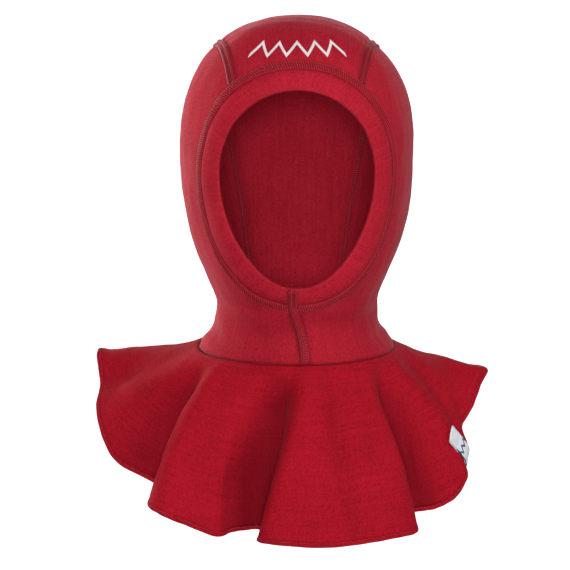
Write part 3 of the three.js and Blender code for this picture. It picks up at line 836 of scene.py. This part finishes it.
def stitches(ground, across, out, half, profile, pitch, slant, span=(-0.88, 0.88)):
    """Cover threads over a ridge, each from one side of it to the other."""
    length = measured(ground)
    count = int((length[-1] - abs(slant)) / pitch)
    stations = np.linspace(*span, 6)
    heights = np.interp(stations, np.linspace(-1, 1, len(profile)), profile)
    lean = np.linspace(-slant / 2, slant / 2, 6)
    parts = []
    for i in range(count):
        run = abs(slant) / 2 + (i + 0.5) * pitch + lean
        middle, side, up = along_path(length, run, ground, across, out)
        lift = heights + 0.1 + 0.12 * np.sin(np.linspace(0, np.pi, 6))
        line = middle + (stations * half)[:, None] * side + lift[:, None] * up
        parts.append(tube(line, up, COVER_THREAD_RADIUS, 4))
    return parts


def needle_lines(ground, across, out, half, profile, stations, pitch):
    """Rows of short stitches along a seam."""
    length = measured(ground)
    parts = []
    for station in stations:
        height = np.interp(station, np.linspace(-1, 1, len(profile)), profile)
        for i in range(int(length[-1] / pitch)):
            run = (i + np.linspace(0.1, 0.9, 4)) * pitch
            middle, side, up = along_path(length, run, ground, across, out)
            lift = height + 0.2 * np.sin(np.linspace(0, np.pi, 4))
            line = middle + station * half * side + lift[:, None] * up
            parts.append(tube(line, up, THREAD_RADIUS, 4))
    return parts


FLAT_PROFILE = (-0.1, 0.25, 0.45, 0.5, 0.5, 0.5, 0.45, 0.25, -0.1)
TWIN_PROFILE = (0.0, 0.5, 0.8, 0.65, 0.2, 0.15, 0.55, 0.8, 0.5, 0.0)
CHIN_PROFILE = (0.3, 0.6, 0.55, 0.5, 0.5, 0.55, 0.95, 1.35, 1.2, 0.4)


def seam(name, path, width, kind, normal=None):
    """Flatlock, outside and inside: a low ridge of cloth with its rows of thread."""
    path = resampled(path, 0.6)
    normal = normals(path) if normal is None else normal
    across = unit(np.cross(unit(np.gradient(path, axis=0)), normal))
    worn = on_hood(path)
    half = width / 2 + 0.1
    outside_face = (worn, across, normal)
    inside_face = (worn - FABRIC * normal, -across, -normal)
    ridges, threads = [], []
    for face in (outside_face, inside_face):
        profile = {"ring": FLAT_PROFILE, "crown": TWIN_PROFILE, "chin": CHIN_PROFILE}[kind]
        ridges.append(ridge_strip(*face, half, profile))
        if kind == "ring" or face is inside_face:
            threads += stitches(*face, half, profile, 1.5, 1.5)
        if kind == "ring":
            threads += needle_lines(*face, half, profile, (-0.86, 0.86), 2.2)
        if kind == "crown":
            threads += needle_lines(*face, half, profile, (-0.1, 0.8), 2.2)
        if kind == "chin" and face is outside_face:
            threads += stitches(*face, half, profile, 1.6, 0.15, (-0.8, 0.15))
            threads += needle_lines(*face, half, profile, (-0.75, -0.3, 0.15), 1.5)
    points, faces = joined(ridges + threads)
    first_thread = sum(len(ridge_faces) for _, ridge_faces in ridges)
    return mesh_object(name, points, faces, SEAM_CLOTH, threads=(THREAD, first_thread))


def face_band_seam():
    x, z = egg_point(RING, np.pi + np.linspace(0, 2 * np.pi, 400))
    return seam("ring_flatlock", front_points(x, z), SEAM_WIDTH, "ring")


def crown_seam(side, name):
    first = crown_start(np.array([float(side)]), SEAM_WIDTH / 2 - 0.8)
    path = crown_line(float(side), first, np.linspace(0, 0.997, 220))
    return seam(name, path, SEAM_WIDTH, "crown")


def chin_path(first, last):
    depths = np.linspace(first, last, 60)
    return front_points(chin_x(depths), FABRIC - depths)


def band_join_seam():
    """The chin seam's upper end, which runs up the band and over the edge of the opening."""
    front = on_hood(chin_path(OPENING["bottom"] + 1.4, RING["bottom"] - 1.2), 0.6)
    out = normals(front)
    inward = unit(front[0] - front[1])
    centre = front[0] - (BAND_LAYERS / 2) * out[0]
    turns = np.linspace(np.pi, 0.15 * np.pi, 12)
    turned = np.array([math.cos(t) * out[0] + math.sin(t) * inward for t in turns])
    path = np.concatenate([centre + 2 * turned, front])
    even = resampled(path, 0.6)
    normal = unit(along_path(measured(path), measured(even), np.concatenate([turned, out]))[0])
    across = unit(np.cross(unit(np.gradient(even, axis=0)), normal))
    half = CHIN_SEAM_WIDTH / 2
    ridge = ridge_strip(even, across, normal, half, CHIN_PROFILE)
    threads = needle_lines(even, across, normal, half, CHIN_PROFILE, (-0.75, 0.15), 1.6)
    points, faces = joined([ridge] + threads)
    thread = (THREAD, len(ridge[1]))
    return mesh_object("band_join_flatlock", points, faces, SEAM_CLOTH, threads=thread)


def chin_seam():
    path = chin_path(RING["bottom"] - 1.6, COLLAR_DEPTH + NECKLINE_DIP - 0.6)
    return seam("chin_flatlock", path, CHIN_SEAM_WIDTH, "chin")


# ---------------------------------------------------------------- print


def forehead_print():
    """One zigzag line, wrapped on to the forehead."""
    half_length, height, line, peaks, depth = 38, 8, 1.7, 5, 21.5
    steps_per_leg = 14
    steps = 2 * peaks * steps_per_leg
    step = np.arange(steps + 1)
    slant = math.hypot(half_length / peaks, height) / (half_length / peaks)
    leg = np.abs(((step / steps_per_leg + 1) % 2) - 1)
    angle = np.arcsin(half_length * (2 * step / steps - 1) / SECTIONS[0, SIDE])
    across = np.linspace(1, -1, 6)[:, None]
    rise = height * (leg - 0.5) + across * line * slant / 2
    base = hood_point(angle, depth - rise)
    sheet = (on_hood(base, PRINT_LIFT), normals(base), base[..., [0, 2]])
    return cloth_object("print_zigzag", *sheet, PRINT, thickness=PRINT_THICKNESS)


# ---------------------------------------------------------------- collar


def hem_place(at):
    """Neck angle and hem point at any place on the list of flutes, counted from 0."""
    count = len(FLUTES)
    first = np.floor(at).astype(int)
    t = (at - first)[..., None]
    knots = []
    for step in (-1, 0, 1, 2):
        i = first + step
        row = FLUTES[i % count].copy()
        row[..., 0] = np.radians(row[..., 0] + 360.0 * (i // count))
        knots.append(row * (1, COLLAR_HALF_WIDTH / 100, COLLAR_HALF_DEPTH / 100, COLLAR_DROP / 100))
    a, b, c, d = knots
    bend = 2 * a - 5 * b + 4 * c - d + (3 * (b - c) + d - a) * t
    value = b + 0.5 * t * (c - a + t * bend)
    point = np.stack([value[..., 1], value[..., 2], FABRIC - COLLAR_DEPTH - value[..., 3]], -1)
    return value[..., 0], point


def collar_lines(at):
    angle, end = hem_place(at)
    start = hood_point(angle, COLLAR_DEPTH)
    spread = np.arange(-3, 4)
    even = np.mean([hem_place(at + step)[1] for step in spread], axis=0)
    shoulder = start + (even - start) * (SHOULDER_REACH, SHOULDER_REACH, SHOULDER_DROP)
    return start, shoulder, end, unit(end - shoulder)


def collar_points(at, down):
    """Points of the collar's outer face, from 0 at the neck seam to 1 at the top of the hem."""
    start, shoulder, end, hang = collar_lines(at)
    edge = end - (HEM_WIDTH + 0.2) * hang
    down = np.asarray(down, float)[..., None]
    return start * (1 - down) ** 2 + shoulder * 2 * down * (1 - down) + edge * down**2


def grid_normals(grid):
    """Normals of a grid whose columns wrap, facing out when its rows run down."""
    down = np.gradient(grid, axis=0)
    right = np.roll(grid, -1, 1) - np.roll(grid, 1, 1)
    return unit(np.cross(down, right))


STEPS_PER_FLUTE = 12
COLLAR_COLUMNS = len(FLUTES) * STEPS_PER_FLUTE
COLLAR_ROWS = 72
BACK_FLUTE = 37  # the cloth's own side seam lies in this flute at the back


def fold_relief(at, down):
    """Folds that fade out at the neck and merge with the flutes at the hem, and their shade."""
    total = np.zeros(np.broadcast(at, down).shape)
    shade = np.zeros(total.shape)
    for at_neck, at_hem, before, after, depth in FOLDS:
        offset = at - (at_neck + (at_hem - at_neck) * down)
        offset = (offset + len(FLUTES) / 2) % len(FLUTES) - len(FLUTES) / 2
        width = np.where(offset < 0, before, after)
        valley = np.exp(-((offset / width) ** 2))
        shoulders = 0.3 * np.exp(-(((offset - 2.2 * after) / (0.9 * after)) ** 2))
        total += depth * (shoulders - valley)
        centre = (after - before) / 3
        shade += 0.036 * depth * np.exp(-(((offset - centre) / (0.75 * width)) ** 2))
    relief_share = smooth_step(down, 0, 0.35) * (1 - 0.75 * smooth_step(down, 0.7, 1))
    shade_share = smooth_step(down, 0.02, 0.35) * (0.85 + 0.4 * down)
    return total * relief_share, shade * shade_share


def collar_grid():
    at = BACK_FLUTE + np.arange(COLLAR_COLUMNS) / STEPS_PER_FLUTE
    down = np.linspace(0, 1, COLLAR_ROWS)[:, None]
    base = collar_points(at, down)
    slack = 0.5 * soft_noise(base, 38, 11) + 0.14 * soft_noise(base, 12, 12)
    slack *= smooth_step(down, 0.0, 0.2) * (0.4 + 0.6 * smooth_step(1 - down, 0.0, 0.25))
    puckers = 0.12 * soft_noise(base * (1, 1, 0.2), 7, 13) * smooth_step(down, 0, 0.04)
    puckers *= 1 - smooth_step(down, 0.04, 0.3)
    tuck = -1.1 * np.exp(-((down / 0.012) ** 2))
    folds, shade = fold_relief(at, down)
    lift = folds + slack + puckers + tuck
    outer = base + lift[..., None] * grid_normals(base)
    return outer, grid_normals(outer), shade


def collar():
    outer, normal, shade = collar_grid()
    along = measured(outer)
    around = np.linalg.norm(outer - np.roll(outer, 1, 1), axis=-1).mean(0)
    cloth = np.stack(np.broadcast_arrays(np.cumsum(around), along), -1)
    to_hem = along[-1] - along
    # Painted shade: dark lines along the neck seam and along the hem's edge, and the folds' valleys
    # darkened.
    painted_shade = 0.55 * np.exp(-((along / 0.9) ** 2)) + 0.35 * np.exp(-((to_hem / 0.9) ** 2)) + shade
    return cloth_object("collar_cloth", outer, normal, cloth, COLLAR_KNIT, painted_shade, wraps=True)


def collar_hem():
    """A narrow turned hem: a soft roll past the collar's edge."""
    outer, normal, _ = collar_grid()
    out = normal[-1]
    hang = unit(outer[-1] - outer[-2])
    centre = outer[-1] + (HEM_WIDTH / 2 + 0.1) * hang - FABRIC / 2 * out
    count = np.arange(COLLAR_COLUMNS)
    waves = 1 + 0.06 * np.sin(count * 0.9) + 0.05 * np.sin(count * 0.37)
    turns = np.linspace(0, 2 * np.pi, 18, endpoint=False)
    rows = []
    for turn in turns:
        high = waves * signed_power(math.cos(turn), 0.75) * HEM_THICKNESS / 2
        wide = waves * signed_power(math.sin(turn), 0.75) * HEM_WIDTH / 2
        rows.append(centre + wide[:, None] * hang + high[:, None] * out)
    faces = quads(len(rows), COLLAR_COLUMNS, wrap_rows=True, wrap_columns=True)
    cloth = np.stack(np.broadcast_arrays(measured(centre), (turns * HEM_WIDTH / 2)[:, None]), -1)
    return mesh_object("hem_roll", rows, faces, COLLAR_KNIT, cloth)


def hem_stitches():
    """Stitches of the hem: short threads along its top edge, on both faces."""
    outer, normal, _ = collar_grid()
    line, out = (np.concatenate([grid[-1], grid[-1, :1]]) for grid in (outer, normal))
    length = measured(line)
    stitch = 2.4
    count = round(length[-1] / stitch)
    parts = []
    for face, height in ((1, 0.05), (-1, FABRIC + 0.05)):
        arch = height + 0.14 * np.sin(np.linspace(0, np.pi, 5))
        for i in range(count):
            run = (i + np.linspace(0.08, 0.92, 5)) * length[-1] / count
            place, up = along_path(length, run, line, out)
            up = face * unit(up)
            parts.append(tube(place + arch[:, None] * up, up, 0.2, sides=4))
    points, faces = joined(parts)
    return mesh_object("hem_stitches", points, faces, THREAD)


def neck_seam():
    """Overlocked allowance inside the neck: a soft strip with loops of thread over it."""
    rows, columns, thickness, gap = 9, 240, 1.5, 0.15
    angles = np.linspace(0, 2 * np.pi, columns, endpoint=False)
    depths = COLLAR_DEPTH - np.linspace(5.2, 0.3, rows)[:, None]
    base = hood_point(angles, depths)
    normal, outer = normals(base), on_hood(base, -FABRIC - gap)
    sheet = (outer, normal, base[..., [0, 2]], KNIT)
    strip = cloth_object("neck_allowance", *sheet, wraps=True, thickness=thickness)
    loops = round(measured(outer[rows // 2])[-1] / 2.0)
    at = np.arange(loops * 8) / 8
    share = at / loops * columns
    low = np.floor(share).astype(int) % columns
    level = np.floor(2 * np.abs((at % 1) - 0.5) * (rows - 2) + 0.5).astype(int)
    part = (share % 1)[:, None]
    place = outer[level, low] * (1 - part) + outer[level, (low + 1) % columns] * part
    out = -normal[level, low]
    points, faces = tube(place + (thickness + gap) * out, out, 0.24, closed=True)
    return strip, mesh_object("neck_overlock", points, faces, THREAD)


# ---------------------------------------------------------------- label


def label_frame():
    """Where the label is sewn on, and the ways along the hem, in over the collar and out of it."""
    at = LABEL_FLUTE + np.array([-0.2, -0.02, 0, 0.02, 0.2])
    hem = collar_points(at, 1)
    higher = collar_points(at[2], 0.98)
    out = unit(np.cross(hem[2] - higher, hem[3] - hem[1]))
    along_hem = unit(hem[4] - hem[0])
    inward = unit(np.cross(out, along_hem))
    square = np.cross(along_hem, inward)
    face = hem_place(at[2])[1] + (HEM_THICKNESS / 2 - FABRIC / 2 + GAP) * square
    origin = face + (TACK_WIDTH + GAP) * inward + LABEL_LIFT * square
    tilted = math.cos(LABEL_TILT) * inward + math.sin(LABEL_TILT) * square
    return origin, along_hem, tilted, np.cross(along_hem, tilted)


def loop_label():
    """A woven tape folded at its free end, both ends sewn to the hem under the bar tack."""
    origin, along_hem, inward, out = label_frame()
    thickness = 2 * LABEL_TAPE + LABEL_INSIDE
    straight = LABEL_LENGTH - thickness / 2
    heights = np.concatenate([np.linspace(-1.6, 4, 9), np.linspace(5, straight, 18)])
    turns = np.linspace(-np.pi / 2, np.pi / 2, 11)[1:-1]

    def bow(y):
        sunk = LABEL_SINK * (1 - smooth_step(y, -1.6, 3.5))
        return 0.5 * np.sin(np.pi * y / LABEL_LENGTH) - sunk

    def section(inset):
        radius = thickness / 2 - inset
        middle = thickness / 2 + bow(straight)
        near = [(y, inset + bow(y)) for y in heights]
        fold = [(straight + radius * math.cos(t), middle + radius * math.sin(t)) for t in turns]
        pinch = [0.3 * (1 - smooth_step(y, -1, 4)) for y in heights]
        far = [(y, thickness - inset - p + bow(y)) for y, p in zip(heights, pinch)]
        return near + fold + far[::-1]

    outer, inner = np.array(section(0.0)), np.array(section(LABEL_TAPE))
    loop = np.concatenate([outer, inner[::-1]])
    run = measured(outer)
    columns = 12
    widths = np.linspace(-LABEL_WIDTH / 2, LABEL_WIDTH / 2, columns)
    y, z = loop[:, :1], loop[:, 1:]
    cup = 0.3 * (2 * widths / LABEL_WIDTH) ** 2 * np.maximum(y, 0) / LABEL_LENGTH
    x = widths + math.tan(LABEL_LEAN) * y
    points = origin + x[..., None] * along_hem + y[..., None] * inward + (z + cup)[..., None] * out
    cloth = np.stack(np.broadcast_arrays(widths, np.concatenate([run, run[::-1]])[:, None]), -1)
    faces = quads(len(loop), columns, wrap_rows=True)
    half = len(outer)
    for column, turn in ((0, 1), (columns - 1, -1)):
        for i in range(half - 1):
            ends = (i, 2 * half - 1 - i, 2 * half - 2 - i, i + 1)
            faces.append(tuple(r * columns + column for r in ends)[::turn])
    return mesh_object("label_tape", points, faces, TAPE, cloth)


def label_stitch():
    """A bar tack: close stitches across the label's base, along the hem."""
    halves = np.arange(0, 1.5, 0.01)
    left_end, right_end = (collar_points(LABEL_FLUTE + way * halves, 1) for way in (-1, 1))
    half = halves[np.argmax(np.linalg.norm(right_end - left_end, axis=-1) >= LABEL_WIDTH)]
    count = 26
    at = LABEL_FLUTE + np.linspace(-half, half, count * 6 + 1)
    base = collar_points(at, 1)
    hang = collar_lines(at)[3]
    around = np.gradient(base, axis=0)
    out = unit(np.cross(hang, around))
    bounce = np.abs((np.arange(len(at)) / 6 % 1) - 0.5) * 4 - 1
    level = HEM_WIDTH + 0.2 - 0.65 + 0.55 * bounce
    lift = HEM_THICKNESS / 2 - FABRIC / 2 + 0.32 + 0.2 * (1 - np.abs(bounce) ** 3)
    path = base + level[:, None] * hang + lift[:, None] * out
    points, faces = tube(path, out, THREAD_RADIUS)
    return mesh_object("label_bartack", points, faces, THREAD)


# ---------------------------------------------------------------- floor, light and camera

AMBIENT = 0.24
CAMERA_DISTANCE = 1.6
CAMERA_PITCH = math.radians(6)
SENSOR = 36.0
VIEW_WIDTH = 0.3716  # across the frame at the garment
AIM_LEFT = 0.0075  # the garment stands a little right of the frame's middle
FLOOR_GAP = 2.5  # the floor lies this far below the hem, because a head holds the hood up


def camera():
    low, high = (np.array(corner) for corner in CAD_BOUNDS)
    aim = np.array([-AIM_LEFT, 0.0, high[2] - 0.534 * (high[2] - low[2])])
    back = np.array([0, -math.cos(CAMERA_PITCH), math.sin(CAMERA_PITCH)])
    data = bpy.data.cameras.new("camera")
    data.sensor_width = SENSOR
    data.lens = SENSOR * CAMERA_DISTANCE / VIEW_WIDTH
    data.clip_start = 0.05
    eye = bpy.data.objects.new("camera", data)
    eye.location = aim + CAMERA_DISTANCE * back
    eye.rotation_euler = (math.pi / 2 - CAMERA_PITCH, 0, 0)
    bpy.context.scene.collection.objects.link(eye)
    bpy.context.scene.camera = eye


def area_light(name, place, size, power):
    data = bpy.data.lights.new(name, "AREA")
    data.shape = "DISK"
    data.size = size
    data.energy = power
    light = bpy.data.objects.new(name, data)
    light.location = place
    target = np.array([0, 0, -0.16])
    away = np.array(place) - target
    light.rotation_euler = (
        math.atan2(math.hypot(away[0], away[1]), away[2]),
        0,
        math.atan2(away[0], -away[1]),
    )
    bpy.context.scene.collection.objects.link(light)


def studio():
    scene = bpy.context.scene
    scene.view_settings.view_transform = "Standard"
    world = bpy.data.worlds.new("studio")
    world.use_nodes = True
    background = world.node_tree.nodes["Background"]
    background.inputs["Color"].default_value = (1, 1, 1, 1)
    background.inputs["Strength"].default_value = AMBIENT
    scene.world = world
    area_light("key", (-0.1, -1.6, 1.1), 0.6, 10)
    area_light("front", (-0.02, -2.0, 0.02), 0.6, 30)
    area_light("fill", (1.4, -1.1, 0.2), 0.9, 9)
    area_light("rim_left", (-1.3, 0.9, 0.1), 0.8, 40)
    area_light("rim_right", (1.3, 0.6, 0.3), 0.8, 1.5)
    area_light("back", (0.2, 1.6, 0.7), 1.0, 12)


def white_surface(name, corners, faces):
    """A stage surface that shines pure white to the camera and casts no light of its own."""
    mesh = bpy.data.meshes.new(name)
    mesh.from_pydata(corners, [], faces)
    nodes = Nodes(name)
    nodes.set(Base_Color=[0.8, 0.8, 0.8, 1], Roughness=0.95)
    nodes.set(Emission_Color=[1, 1, 1, 1], Emission_Strength=0.95)
    mesh.materials.append(nodes.material)
    surface = bpy.data.objects.new(name, mesh)
    surface.visible_diffuse = False
    surface.visible_glossy = False
    surface.visible_shadow = False
    bpy.context.scene.collection.objects.link(surface)


def floor_and_backdrop():
    low, far = CAD_BOUNDS[0][2] - FLOOR_GAP, 4.0
    base = [(-far, -far, low), (far, -far, low), (far, far, low), (-far, far, low)]
    white_surface("floor", base, [(0, 1, 2, 3)])
    top = [(x, y, far) for x, y, _ in base]
    walls = [(0, 4, 5, 1), (1, 5, 6, 2), (2, 6, 7, 3), (3, 7, 4, 0), (4, 7, 6, 5)]
    white_surface("backdrop", base + top, walls)


# ---------------------------------------------------------------- assembly


def worn(piece, *replaced, slot="knit_red", body="hood"):
    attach(piece, body)
    if replaced:
        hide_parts(*replaced)
    return piece


camera()
studio()
floor_and_backdrop()

crown = worn(crown_panel(), "crown_panel")
left = worn(side_panel(1, "side_cloth_left"), "side_panel_left")
right = worn(side_panel(-1, "side_cloth_right"), "side_panel_right")
band = worn(face_band(), "face_band")
ring = worn(face_band_seam(), "face_band_seam", slot="thread_red")
worn(crown_seam(1, "crown_flatlock_left"), "crown_seam_left", slot="thread_red")
worn(crown_seam(-1, "crown_flatlock_right"), "crown_seam_right", slot="thread_red")
worn(band_join_seam(), "band_join_seam", slot="thread_red")
worn(chin_seam(), "chin_seam", slot="thread_red")
worn(forehead_print(), "forehead_print", slot="print_silver")
collar_piece = worn(collar(), "collar")
hem = worn(collar_hem(), "collar_hem")
hem_thread = worn(hem_stitches(), slot="thread_red")
allowance, overlock = neck_seam()
worn(allowance, "neck_seam")
worn(overlock, slot="thread_red")
label = worn(loop_label(), "loop_label", slot="label_white", body="label")
worn(label_stitch(), "label_stitch", slot="thread_red")
